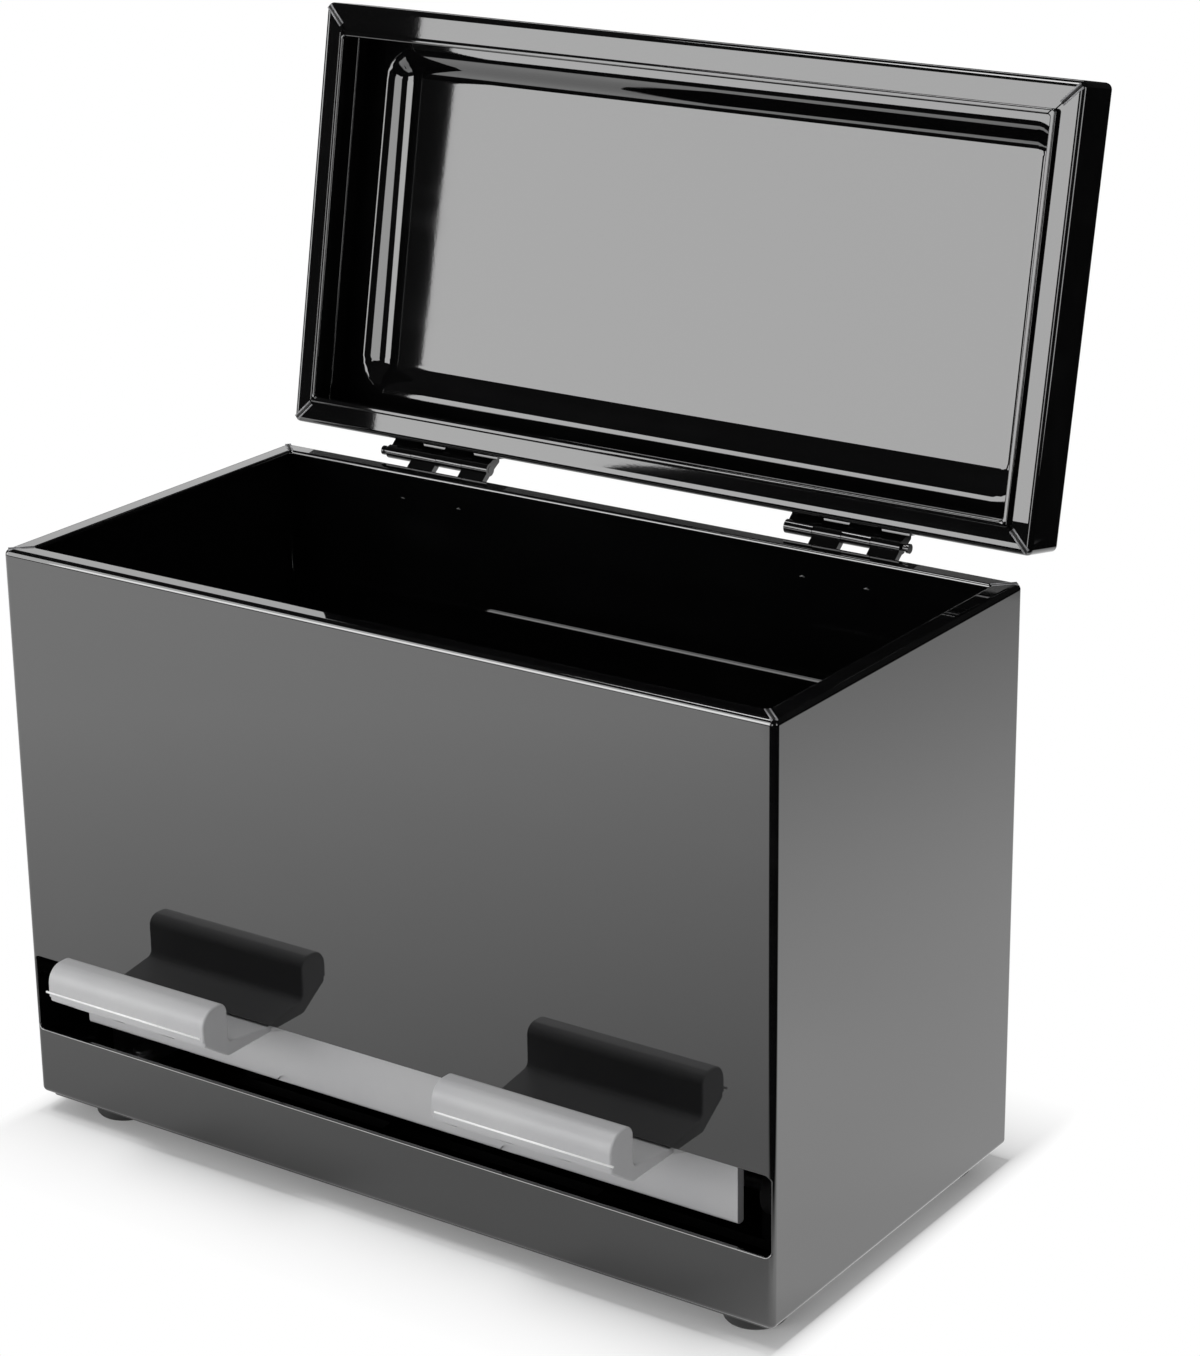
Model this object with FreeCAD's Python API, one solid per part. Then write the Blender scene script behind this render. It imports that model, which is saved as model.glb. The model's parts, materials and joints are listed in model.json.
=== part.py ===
import FreeCAD, Part
import math
import os

from FreeCAD import Vector

# Pencil dispenser: a sheet steel box on four rubber feet with a hinged lid. Pencils lie in the
# box, fall one at a time onto the tray of a moulded rocker, and roll out to its two hooks when
# the hooks are pressed down. A spring at each end of the rocker's axle lifts it again.
#
# Millimetres. X runs along the box, Y from its front to its back, Z up. The origin is on the
# table, under the middle of the whole part, from the tips of its hooks to the back of its open
# lid. The lid is modelled closed and then turned open.

# Case
case_width = 220.0
case_depth = 109.0
case_height = 145.4
sheet = 1.0
corner_bend = 1.6
edge_bend = 1.5
top_flange = 5.5
top_flange_corner = 0.8
base_flange = 16.0
base_flange_corner = 4.0
mouth_edge_rounding = 0.8
mitre_gap = 0.3
base_plate_thickness = 1.0
base_plate_inset = 2.0

# Slot in the front, in which the rocker moves
slot_bottom = 18.0
slot_height = 20.2
slot_corner = 1.5
slot_edge_rounding = 0.35

# Feet
foot_radius = 7.5
foot_height = 4.2
foot_rounding = 1.0
foot_setback = 12.0
foot_left_inset = 18.1
foot_right_inset = 12.1
foot_recess_radius = 3.6
foot_recess_depth = 2.6
foot_screw_radius = 1.5
foot_screw_head_radius = 3.1
foot_screw_head_height = 1.7
foot_screw_tip = 2.5
screw_hole_clearance = 0.1

# Lid, with a lip that drops inside the opening of the case
lid_wall = 14.7
lid_overhang = 0.8
lid_seat_gap = 0.3
lid_opening = 100.9
lip_height = 1.5
lip_thickness = 1.5
lip_clearance = 0.5
lip_rounding = 0.5
panel_inset = 11.3
panel_rise = 2.75
panel_slope_angle = 32.0
panel_bend = 7.0
panel_corner = 7.2

# Hinges
hinge_inset = 32.95
hinge_shift = 1.3
hinge_width = 32.5
hinge_setback = 3.5
hinge_rise = 1.7
knuckle_count = 4
knuckle_radius = 1.75
knuckle_gap = 0.15
pin_radius = 0.9
pin_clearance = 0.05
pin_stub_length = 1.3
pin_flare_radius = 1.2
pin_flare_length = 0.7
leaf_thickness = 0.9
leaf_bend_height = 2.6
leaf_corner = 3.0
case_leaf_height = 20.0
lid_leaf_height = 8.4
stop_reach = 3.7
stop_clearance = 0.05

# Rivets
rivet_radius = 1.5
rivet_hole_clearance = 0.1
rivet_head_radius = 2.7
rivet_head_height = 0.9
rivet_head_rounding = 0.63
rivet_tail_radius = 2.3
rivet_tail_height = 0.5
hinge_rivet_spacing = 18.0

# Ramps that lead the pencils to the rocker's tray
ramp_side_gap = 0.2
ramp_bend = 2.0
front_ramp_top = 82.0
front_ramp_bend_height = 68.0
front_ramp_end_setback = 14.7
front_ramp_end_height = 48.5
rear_ramp_angle = 31.0
rear_ramp_flange = 12.0
rear_ramp_lead_angle = 14.4
rear_ramp_clearance = 1.2

# Rocker: an apron behind the slot, a tray, a curved gate behind the tray, and two hooks
pivot_setback = 34.0
pivot_height = 16.0
press_angle = 18.0
rocker_wall = 2.5
apron_setback = 5.8
apron_bottom = 20.3
apron_foot_rounding = 1.0
panel_gap = 0.55
tray_end_setback = 23.0
tray_end_height = 36.8
gate_radius = 33.0
gate_lead_angle = 17.6
gate_trail_angle = 15.0
gate_edge_rounding = 1.0
rib_offset = 33.0
rib_thickness = 2.0
end_arm_setback = 23.5
end_arm_foot = 19.5
hub_radius = 7.0
hub_length = 8.0
hub_stand_out = 0.5
rib_heel_rounding = 3.0
tie_bar_setback = 47.0
tie_bar_depth = 6.0
tie_bar_bottom = 7.9
tie_bar_thickness = 2.5
tie_bar_upper_rounding = 0.8
tie_bar_lower_rounding = 0.4
apron_mark_radius = 2.5
apron_mark_depth = 0.6
apron_mark_drop = 0.5

# Hooks of the rocker
hook_width = 49.0
hook_gap = 67.0
hook_reach = 23.0
hook_top = 50.2
hook_wall = 1.6
hook_front_rounding = 4.4
hook_inner_rounding = 2.8
hook_nose_height = 42.3
hook_nose_rounding = 0.3
hook_lip_step = 0.5
hook_lip_height = 1.0
hook_lip_rounding = 0.4
hook_keel_setback = 0.2
hook_underside = 35.8
hook_keel_rounding = 1.2
hook_pocket_count = 3
hook_pocket_front_rounding = 2.6
hook_pocket_rear_rounding = 1.2
hook_root_gusset = 4.0
cradle_width = 14.0
cradle_floor = 39.7
cradle_rounding = 1.5
edge_rounding = 0.5

# Axle of the rocker, its bearings and its springs
axle_radius = 2.5
axle_rib_clearance = 0.3
axle_running_clearance = 0.05
axle_end_gap = 0.7
clip_thickness = 0.8
clip_width = 2.0
clip_play = 0.3
clip_mouth_angle = 80.0
bracket_thickness = 1.5
bracket_wall_gap = 2.5
bracket_width = 20.0
bracket_rise = 9.0
bracket_corner_radius = 8.0
bracket_foot_length = 10.0
bracket_rivet_margin = 1.5
bush_radius = 4.0
bush_flange_radius = 5.5
bush_flange_thickness = 1.0
spring_room = 6.5
spring_radius = 4.2
spring_wire = 0.8
spring_turns = 3
spring_end_gap = 0.5
spring_leg = 9.0
spring_short_leg = 3.6
spring_leg_bend = 1.2
spring_hole_clearance = 0.2
spring_peg_radius = 1.5
spring_peg_length = 3.0
spring_peg_gap = 0.1

# Rubber stops of the rocker
bumper_radius = 3.5
bumper_gap = 0.2
bumper_rounding = 0.6
front_bumper_inset = 37.0
front_bumper_setback = 8.6
rear_bumper_inset = 17.0

# Places worked out from the sizes above
opening = math.radians(lid_opening)
lean_back = hinge_setback + edge_bend
lean_back -= (lid_overhang + case_depth + hinge_setback - edge_bend) * math.cos(opening)
lean_back += (lid_seat_gap + lid_wall - hinge_rise - edge_bend) * math.sin(opening)
front = (hook_reach - case_depth - lean_back) / 2
back = front + case_depth
right = case_width / 2
plate_bottom = foot_height
bottom = plate_bottom + base_plate_thickness
top = bottom + case_height
flange_top = bottom + sheet
hinge_y = back + hinge_setback
hinge_z = top + hinge_rise
rim_z = top + lid_seat_gap
lid_front = front - lid_overhang
pivot_y = front + pivot_setback
pivot_z = bottom + pivot_height
bracket_outer = right - sheet - bracket_wall_gap
bracket_inner = bracket_outer - bracket_thickness
hub_end = bracket_inner - bush_flange_thickness - spring_room
rocker_end = hub_end - hub_stand_out
hinge_offset = right - hinge_inset - hinge_width / 2
tray_crest = slot_bottom + slot_height - panel_gap
along_x = Vector(1, 0, 0)
along_y = Vector(0, 1, 0)
along_z = Vector(0, 0, 1)
overcut = 1.0


# Drawing helpers

def in_yz(y, z):
    return Vector(0, y, z)


def in_xy(x, y):
    return Vector(x, y, 0)


def in_xz(x, z):
    return Vector(x, 0, z)


def at(setback, height):
    # A point of the side view, from its distance behind the front and above the case's bottom.
    return front + setback, bottom + height


def turned(y, z, angle):
    # The same point after the rocker has turned by this angle about its pivot.
    lever_y = y - pivot_y
    lever_z = z - pivot_z
    swing = math.radians(angle)
    turned_y = pivot_y + lever_y * math.cos(swing) - lever_z * math.sin(swing)
    turned_z = pivot_z + lever_y * math.sin(swing) + lever_z * math.cos(swing)
    return turned_y, turned_z


def corner_arc(before, here, after, radius):
    # Start, middle and end of the arc that rounds one corner of an outline.
    back_way = (before - here).normalize()
    on_way = (after - here).normalize()
    half = back_way.getAngle(on_way) / 2
    reach = radius / math.tan(half)
    to_centre = (back_way + on_way).normalize()
    centre = here + to_centre * (radius / math.sin(half))
    return here + back_way * reach, centre - to_centre * radius, here + on_way * reach


def outline(corners, place):
    # A closed wire through corners (a, b, radius), rounded where the radius is not 0.
    points = [place(a, b) for a, b, radius in corners]
    count = len(points)
    arcs = []
    for index in range(count):
        radius = corners[index][2]
        here = points[index]
        if radius > 0:
            arcs.append(corner_arc(points[index - 1], here, points[(index + 1) % count], radius))
        else:
            arcs.append((here, here, here))
    edges = []
    for index in range(count):
        start, middle, end = arcs[index]
        if corners[index][2] > 0:
            edges.append(Part.Arc(start, middle, end).toShape())
        following = arcs[(index + 1) % count][0]
        if (following - end).Length > 1e-6:
            edges.append(Part.LineSegment(end, following).toShape())
    return Part.Wire(edges)


def prism(corners, place, offset, length):
    # The outline pushed along the way that its plane faces, from the offset on.
    way = {in_yz: along_x, in_xy: along_z, in_xz: along_y}[place]
    face = Part.Face(outline(corners, place))
    face.translate(way * offset)
    return face.extrude(way * length)


def side_prism(corners, x_start, x_end):
    return prism(corners, in_yz, x_start, x_end - x_start)


def rectangle(a_start, a_end, b_start, b_end, radius):
    return [(a_start, b_start, radius), (a_end, b_start, radius),
            (a_end, b_end, radius), (a_start, b_end, radius)]


def block(x_start, x_end, y_start, y_end, z_start, z_end):
    size = (x_end - x_start, y_end - y_start, z_end - z_start)
    return Part.makeBox(*size, Vector(x_start, y_start, z_start))


def plan_block(inset, z_start, z_end, radius, y_start=front, y_end=back):
    # A block over the plan of the case, drawn in by the inset all round, with round corners.
    plan = rectangle(-right + inset, right - inset, y_start + inset, y_end - inset, radius)
    return prism(plan, in_xy, z_start, z_end - z_start)


def rod(radius, x_start, x_end, y, z):
    return Part.makeCylinder(radius, x_end - x_start, Vector(x_start, y, z), along_x)


def post(radius, x, y, z_start, z_end):
    return Part.makeCylinder(radius, z_end - z_start, Vector(x, y, z_start), along_z)


def level_edges(shape, height):
    # The edges that lie at one height, such as the top loop of a block.
    def lies_level(edge):
        box = edge.BoundBox
        return abs(box.ZMin - height) < 1e-4 and abs(box.ZMax - height) < 1e-4
    return [edge for edge in shape.Edges if lies_level(edge)]


def folded_shell(inset, z_start, z_end, bend, edge, y_start=front, y_end=back):
    # A block whose upright corners and whose top and bottom edges are rounded like bent sheet.
    body = plan_block(inset, z_start, z_end, bend, y_start, y_end)
    return body.makeFillet(edge, level_edges(body, z_start) + level_edges(body, z_end))


def strip(path, bend, thickness):
    # Corners of a bent sheet's section: the path is one face, the other lies to its left.
    ways = []
    for start, end in zip(path, path[1:]):
        length = math.hypot(end[0] - start[0], end[1] - start[1])
        ways.append(((end[0] - start[0]) / length, (end[1] - start[1]) / length))
    near = []
    far = []
    for index, (a, b) in enumerate(path):
        way_in = ways[max(index - 1, 0)]
        way_out = ways[min(index, len(ways) - 1)]
        left = (-way_in[1] - way_out[1], way_in[0] + way_out[0])
        size = math.hypot(*left)
        reach = thickness / (size / 2) / size
        turn = way_in[0] * way_out[1] - way_in[1] * way_out[0]
        near_radius = 0
        far_radius = 0
        if turn > 1e-6:
            near_radius = bend + thickness
            far_radius = bend
        if turn < -1e-6:
            near_radius = bend
            far_radius = bend + thickness
        near.append((a, b, near_radius))
        far.append((a + left[0] * reach, b + left[1] * reach, far_radius))
    return near + far[::-1]


def fused(shapes):
    whole = shapes[0]
    for shape in shapes[1:]:
        whole = whole.fuse(shape)
    return whole.removeSplitter()


def cut_all(shape, tools):
    for tool in tools:
        shape = shape.cut(tool)
    return shape


def mirrored(shape):
    return shape.mirror(Vector(0, 0, 0), along_x)


def mitre_slits(inset, z_start, z_end, length, y_start=front, y_end=back):
    # Thin slits on the diagonals, where the flanges of neighbouring walls meet.
    slits = []
    for x_side, x_corner in ((1, -right), (-1, right)):
        for y_side, y_corner in ((1, y_start), (-1, y_end)):
            slit = block(0, length, -mitre_gap / 2, mitre_gap / 2, z_start, z_end)
            slit.rotate(Vector(0, 0, 0), along_z, math.degrees(math.atan2(y_side, x_side)))
            slit.translate(Vector(x_corner + x_side * inset, y_corner + y_side * inset, 0))
            slits.append(slit)
    return slits


# Case

def foot_places():
    left_x = -right + foot_left_inset
    right_x = right - foot_right_inset
    return {
        "front_left": (left_x, front + foot_setback),
        "front_right": (right_x, front + foot_setback),
        "rear_left": (left_x, back - foot_setback),
        "rear_right": (right_x, back - foot_setback),
    }


def foot_screw_holes():
    radius = foot_screw_radius + screw_hole_clearance
    return [post(radius, x, y, 0, flange_top + overcut) for x, y in foot_places().values()]


def bracket_rivet_places():
    # Two rivets stand on the foot of each bracket, in a row along Y.
    x = bracket_inner - bracket_foot_length / 2
    reach = bracket_width / 2 - rivet_head_radius - bracket_rivet_margin
    return [(x, pivot_y - reach), (x, pivot_y + reach)]


def bracket_rivet_holes():
    radius = rivet_radius + rivet_hole_clearance
    foot_top = flange_top + bracket_thickness
    holes = [post(radius, x, y, plate_bottom - overcut, foot_top + overcut)
             for x, y in bracket_rivet_places()]
    return holes + [mirrored(hole) for hole in holes]


def hinge_middle(side):
    # Both hinges sit a little to the left.
    return side * hinge_offset - hinge_shift


def hinge_rivet_places():
    return [hinge_middle(side) + step * hinge_rivet_spacing / 2
            for side in (-1, 1) for step in (-1, 1)]


def hinge_rivet_holes(z):
    radius = rivet_radius + rivet_hole_clearance
    start = back - sheet - overcut
    length = sheet + leaf_thickness + 2 * overcut
    return [Part.makeCylinder(radius, length, Vector(x, start, z), along_y)
            for x in hinge_rivet_places()]


case_rivet_z = hinge_z - leaf_bend_height - case_leaf_height / 2
lid_rivet_z = hinge_z + leaf_bend_height + lid_leaf_height / 2


def mouth_edges(shell):
    # The upper edges of the opening between the top flanges.
    reach = right - top_flange
    return [edge for edge in level_edges(shell, top)
            if edge.BoundBox.XMax < reach + 1e-4 and edge.BoundBox.XMin > -reach - 1e-4
            and edge.BoundBox.YMin > front + top_flange - 1e-4]


def slot_edges(shell):
    # The two long outer edges of the slot, from which the rounding runs on round its ends.
    low = bottom + slot_bottom
    long_edges = level_edges(shell, low) + level_edges(shell, low + slot_height)
    return [edge for edge in long_edges if abs(edge.BoundBox.YMin - front) < 1e-4
            and abs(edge.BoundBox.YMax - front) < 1e-4]


def case_shell():
    # Four walls with an inward flange round the top and round the bottom, and the slot.
    outer = folded_shell(0, bottom, top, corner_bend, edge_bend)
    inner = folded_shell(sheet, flange_top, top - sheet, corner_bend - sheet, edge_bend - sheet)
    mouth = plan_block(top_flange, top - sheet - overcut, top + overcut, top_flange_corner)
    floor_opening = plan_block(base_flange, bottom - overcut, flange_top + overcut,
                               base_flange_corner)
    slot = rectangle(-right + sheet, right - sheet, bottom + slot_bottom,
                     bottom + slot_bottom + slot_height, slot_corner)
    slot_cut = prism(slot, in_xz, front - overcut, sheet + 2 * overcut)
    shell = cut_all(outer, [inner, mouth, floor_opening, slot_cut])
    shell = shell.makeFillet(mouth_edge_rounding, mouth_edges(shell))
    shell = shell.makeFillet(slot_edge_rounding, slot_edges(shell))
    tools = mitre_slits(sheet, top - sheet, top + overcut, top_flange * math.sqrt(2))
    tools += foot_screw_holes() + bracket_rivet_holes() + hinge_rivet_holes(case_rivet_z)
    return cut_all(shell, tools)


def base_plate():
    plate = plan_block(base_plate_inset, plate_bottom, bottom, corner_bend)
    return cut_all(plate, foot_screw_holes() + bracket_rivet_holes())


def foot(x, y):
    # A turned rubber foot with a recess for the head of its screw.
    body = post(foot_radius, x, y, 0, foot_height)
    body = body.makeFillet(foot_rounding, level_edges(body, 0))
    recess = post(foot_recess_radius, x, y, -overcut, foot_recess_depth)
    hole = post(foot_screw_radius + screw_hole_clearance, x, y, 0, foot_height + overcut)
    return cut_all(body, [recess, hole])


def foot_screw(x, y):
    head_bottom = foot_recess_depth - foot_screw_head_height
    head = post(foot_screw_head_radius, x, y, head_bottom, foot_recess_depth)
    head = head.makeFillet(foot_screw_head_height / 2, level_edges(head, head_bottom))
    shank = post(foot_screw_radius, x, y, foot_recess_depth, flange_top + foot_screw_tip)
    return fused([head, shank])


# Lid

def panel_section(z_base, shift, foot_bend, crest_bend):
    # Half the panel's side view, from the middle of its corner's arc out to its foot.
    slope = math.radians(panel_slope_angle)
    foot = panel_corner - shift
    crest = foot - panel_rise / math.tan(slope)
    reach = foot + foot_bend * math.tan(slope / 2)
    low = z_base - sheet / 2
    high = z_base + panel_rise
    return [(0, low, 0), (reach, low, 0), (reach, z_base, 0), (foot, z_base, foot_bend),
            (crest, high, crest_bend), (0, high, 0)]


def raised_panel(z_base, shift, foot_bend, crest_bend):
    # A quarter of the pressed panel is two straight sides and one round corner, then mirrored.
    section = panel_section(z_base, shift, foot_bend, crest_bend)
    half_width = right - panel_inset - panel_corner
    half_depth = (back - lid_front) / 2 - panel_inset - panel_corner
    corner = Part.Face(outline(section, in_xz)).revolve(Vector(0, 0, 0), along_z, 90)
    corner.translate(Vector(half_width, half_depth, 0))
    side = prism(section, in_xz, 0, half_depth)
    side.translate(Vector(half_width, 0, 0))
    rear = prism(section, in_yz, 0, half_width)
    rear.translate(Vector(0, half_depth, 0))
    middle = block(0, half_width, 0, half_depth, z_base - sheet / 2, z_base + panel_rise)
    half = fused([corner, side, rear, middle])
    half = half.fuse(mirrored(half))
    panel = fused([half, half.mirror(Vector(0, 0, 0), along_y)])
    panel.translate(Vector(0, (back + lid_front) / 2, 0))
    return panel


def lid_shell():
    # Closed lid: walls, a rim folded inwards round the edge, the locating lip and the panel.
    lid_top = rim_z + lid_wall
    outer = folded_shell(0, rim_z, lid_top, corner_bend, edge_bend, lid_front, back)
    outer = outer.fuse(raised_panel(lid_top, 0, panel_bend, panel_bend + sheet))
    inner = folded_shell(sheet, rim_z + sheet, lid_top - sheet, corner_bend - sheet,
                         edge_bend - sheet, lid_front, back)
    shift = sheet * math.tan(math.radians(panel_slope_angle) / 2)
    hollow = inner.fuse(raised_panel(lid_top - sheet, shift, panel_bend + sheet, panel_bend))
    lip_inset = top_flange + lip_clearance
    mouth = plan_block(lip_inset + lip_thickness, rim_z - lip_height - overcut,
                       rim_z + sheet + overcut, top_flange_corner)
    lip = plan_block(lip_inset, rim_z - lip_height, rim_z + sheet, top_flange_corner).cut(mouth)
    lip = lip.makeFillet(lip_rounding, level_edges(lip, rim_z - lip_height))
    shell = outer.cut(hollow).cut(mouth).fuse(lip)
    slit_length = (lip_inset + lip_thickness) * math.sqrt(2)
    tools = mitre_slits(sheet, rim_z - lip_height - overcut, rim_z + sheet, slit_length,
                        lid_front, back)
    return cut_all(shell, tools + hinge_rivet_holes(lid_rivet_z))


def opened(shape):
    # Turns a piece of the closed lid to its open place.
    turned_shape = shape.copy()
    turned_shape.rotate(Vector(0, hinge_y, hinge_z), along_x, -lid_opening)
    return turned_shape


# Hinges

def knuckle_spans(side, first):
    # Every other knuckle of one hinge, from its first, as start and end along X.
    pitch = hinge_width / knuckle_count
    start = hinge_middle(side) - hinge_width / 2
    return [(start + index * pitch + knuckle_gap / 2, start + (index + 1) * pitch - knuckle_gap / 2)
            for index in range(first, knuckle_count, 2)]


def leaf_neck(way):
    # The bent neck between the flat leaf and the knuckle; way is +1 up the lid, -1 down the case.
    half = knuckle_radius / math.sqrt(2)
    bend_z = hinge_z + way * leaf_bend_height
    return [(back, bend_z + way * leaf_thickness, 0),
            (back + leaf_thickness, bend_z + way * leaf_thickness, 0),
            (hinge_y + half - leaf_thickness, hinge_z + way * half, 0),
            (hinge_y - half, hinge_z + way * half / 4, 0),
            (back, bend_z - way * leaf_thickness / 2, 0)]


def hinge_leaf(side, way, height, first, bore):
    # A flat leaf on the wall, with a neck and a knuckle at every other place.
    near = hinge_z + way * leaf_bend_height
    far = near + way * height
    x_start = hinge_middle(side) - hinge_width / 2
    x_end = x_start + hinge_width
    corners = [(x_start, near, 0), (x_end, near, 0), (x_end, far, leaf_corner),
               (x_start, far, leaf_corner)]
    parts = [prism(corners, in_xz, back, leaf_thickness)]
    for start, end in knuckle_spans(side, first):
        parts.append(side_prism(leaf_neck(way), start, end))
        parts.append(rod(knuckle_radius, start, end, hinge_y, hinge_z))
    whole = fused(parts)
    return whole.cut(rod(bore, x_start - overcut, x_end + overcut, hinge_y, hinge_z))


def stop_point(along, above):
    # A point from the hinge's axis, along the open lid leaf and up towards it.
    return (hinge_y + along * math.sin(opening) - above * math.cos(opening),
            hinge_z + along * math.cos(opening) + above * math.sin(opening), 0)


def stop_lug(start, end):
    # A lug behind a knuckle of the case's leaf: the open lid's leaf comes down on it.
    crest = hinge_setback - leaf_thickness - stop_clearance
    half = knuckle_radius / 2
    corners = [stop_point(-half, knuckle_radius - leaf_thickness / 2), stop_point(half, crest),
               stop_point(stop_reach, crest), stop_point(stop_reach, knuckle_radius),
               stop_point(knuckle_radius - stop_clearance, 0)]
    return side_prism(corners, start, end)


def hinge_case_leaf(side):
    leaf = hinge_leaf(side, -1, case_leaf_height, 1, pin_radius)
    lugs = [stop_lug(start, end) for start, end in knuckle_spans(side, 1)]
    leaf = fused([leaf] + lugs).cut(rod(pin_radius, -right, right, hinge_y, hinge_z))
    return cut_all(leaf, hinge_rivet_holes(case_rivet_z))


def hinge_lid_leaf(side):
    leaf = hinge_leaf(side, 1, lid_leaf_height, 0, pin_radius + pin_clearance)
    return opened(cut_all(leaf, hinge_rivet_holes(lid_rivet_z)))


def hinge_pin(side):
    # A stub with a flared tip stands out at the end nearer to the corner of the box.
    outer_end = hinge_width / 2 + pin_stub_length
    shaft = rod(pin_radius, -hinge_width / 2, outer_end, hinge_y, hinge_z)
    flare = rod(pin_flare_radius, outer_end, outer_end + pin_flare_length, hinge_y, hinge_z)
    pin = fused([shaft, flare])
    if side < 0:
        pin = mirrored(pin)
    pin.translate(along_x * hinge_middle(side))
    return pin


def rivet(seat, way, grip):
    # Head on the seat, shank through the sheets, and a low tail on their far side.
    head = Part.makeCylinder(rivet_head_radius, rivet_head_height, seat, way)
    crown = seat + way * rivet_head_height
    rim = [edge for edge in head.Edges
           if edge.isClosed() and abs((edge.CenterOfMass - crown).dot(way)) < 1e-4]
    head = head.makeFillet(rivet_head_rounding, rim)
    shank = Part.makeCylinder(rivet_radius, grip, seat, way * -1)
    tail = Part.makeCylinder(rivet_tail_radius, rivet_tail_height, seat - way * grip, way * -1)
    return fused([head, shank, tail])


def hinge_rivet(side, step, z):
    x = hinge_middle(side) + step * hinge_rivet_spacing / 2
    seat = Vector(x, back + leaf_thickness, z)
    return rivet(seat, along_y, leaf_thickness + sheet)


# Ramps

def front_ramp():
    # Spot welded to the front wall above the slot, it slopes down towards the tray.
    path = [at(sheet, front_ramp_top), at(sheet, front_ramp_bend_height),
            at(front_ramp_end_setback, front_ramp_end_height)]
    half = right - corner_bend - ramp_side_gap
    return side_prism(strip(path, ramp_bend, sheet), -half, half)


def rear_ramp():
    # Its front edge hangs just over the gate, and its flange is spot welded to the back wall.
    reach = gate_radius + rear_ramp_clearance
    lead = math.radians(rear_ramp_lead_angle)
    end = (pivot_y - reach * math.sin(lead), pivot_z + reach * math.cos(lead))
    wall = back - sheet
    bend_z = end[1] + (wall - end[0]) * math.tan(math.radians(rear_ramp_angle))
    path = [end, (wall, bend_z), (wall, bend_z + rear_ramp_flange)]
    half = right - corner_bend - ramp_side_gap
    return side_prism(strip(path, ramp_bend, sheet), -half, half)


# Rocker

def gate_point(radius, angle):
    # A point round the pivot, at this angle behind the upright through it.
    swing = math.radians(angle)
    return pivot_y + radius * math.sin(swing), pivot_z + radius * math.cos(swing)


def gate_shell():
    # The curved gate keeps the next pencils back while the rocker is pressed down.
    inner_radius = gate_radius - rocker_wall
    middle = (gate_trail_angle - gate_lead_angle) / 2
    angles = (-gate_lead_angle, middle, gate_trail_angle)
    outer = [in_yz(*gate_point(gate_radius, angle)) for angle in angles]
    inner = [in_yz(*gate_point(inner_radius, angle)) for angle in angles[::-1]]
    edges = [Part.Arc(*outer).toShape(), Part.LineSegment(outer[2], inner[0]).toShape(),
             Part.Arc(*inner).toShape(), Part.LineSegment(inner[2], outer[0]).toShape()]
    face = Part.Face(Part.Wire(edges))
    face.translate(along_x * -rocker_end)
    return face.extrude(along_x * 2 * rocker_end)


def tray_height(setback):
    # Height of the tray's top, which falls a little from the panel to its rear end.
    return tray_crest + (tray_end_height - tray_crest) * setback / tray_end_setback


def rocker_skin():
    # Apron, tray and the wall that carries the gate, all of one thickness.
    lead_y, lead_z = gate_point(gate_radius, -gate_lead_angle)
    lead_setback = lead_y - front
    apron_back = apron_setback + rocker_wall
    tray_back = tray_end_setback + rocker_wall
    apron = [at(apron_setback, apron_bottom) + (apron_foot_rounding,),
             at(apron_setback, tray_height(apron_setback)) + (edge_rounding,),
             at(apron_back, tray_height(apron_back)) + (0,),
             at(apron_back, apron_bottom) + (edge_rounding,)]
    tray = [at(apron_back, tray_height(apron_back)) + (0,),
            at(tray_back, tray_height(tray_back)) + (0,),
            at(tray_back, tray_height(tray_back) - rocker_wall) + (0,),
            at(apron_back, tray_height(apron_back) - rocker_wall) + (0,)]
    wall = [at(tray_end_setback, tray_end_height - rocker_wall) + (0,),
            (lead_y, lead_z, gate_edge_rounding),
            at(lead_setback + rocker_wall, lead_z - bottom - rocker_wall / 4) + (0,),
            at(tray_back, tray_end_height - rocker_wall) + (0,)]
    return [side_prism(section, -rocker_end, rocker_end) for section in (apron, tray, wall)]


def rib_section(front_setback, front_foot):
    # The side view between the skin and the tie bar, round the hub.
    middle_radius = gate_radius - rocker_wall / 2
    lead = gate_lead_angle - math.degrees(rocker_wall / gate_radius)
    lower = tray_height(tray_end_setback) - rocker_wall / 2
    tie_back = tie_bar_setback + tie_bar_depth
    return [at(front_setback, front_foot) + (0,),
            at(front_setback, tray_height(front_setback) - rocker_wall / 2) + (0,),
            at(tray_end_setback + rocker_wall / 2, lower) + (0,),
            gate_point(middle_radius, -lead) + (0,), gate_point(middle_radius, 0) + (0,),
            gate_point(middle_radius, gate_trail_angle) + (0,),
            at(tie_back, tie_bar_bottom + tie_bar_thickness) + (tie_bar_upper_rounding,),
            at(tie_back, tie_bar_bottom) + (tie_bar_lower_rounding,),
            at(tie_bar_setback, tie_bar_bottom) + (rib_heel_rounding,),
            at(pivot_setback, pivot_height - hub_radius) + (hub_radius,)]


def tie_bar_section():
    # The bar joins the ribs behind the axle and comes down on the rear stops.
    tie_back = tie_bar_setback + tie_bar_depth
    tie_top = tie_bar_bottom + tie_bar_thickness
    return [at(tie_bar_setback, tie_bar_bottom) + (0,),
            at(tie_bar_setback, tie_top) + (0,),
            at(tie_back, tie_top) + (tie_bar_upper_rounding,),
            at(tie_back, tie_bar_bottom) + (tie_bar_lower_rounding,)]


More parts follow.
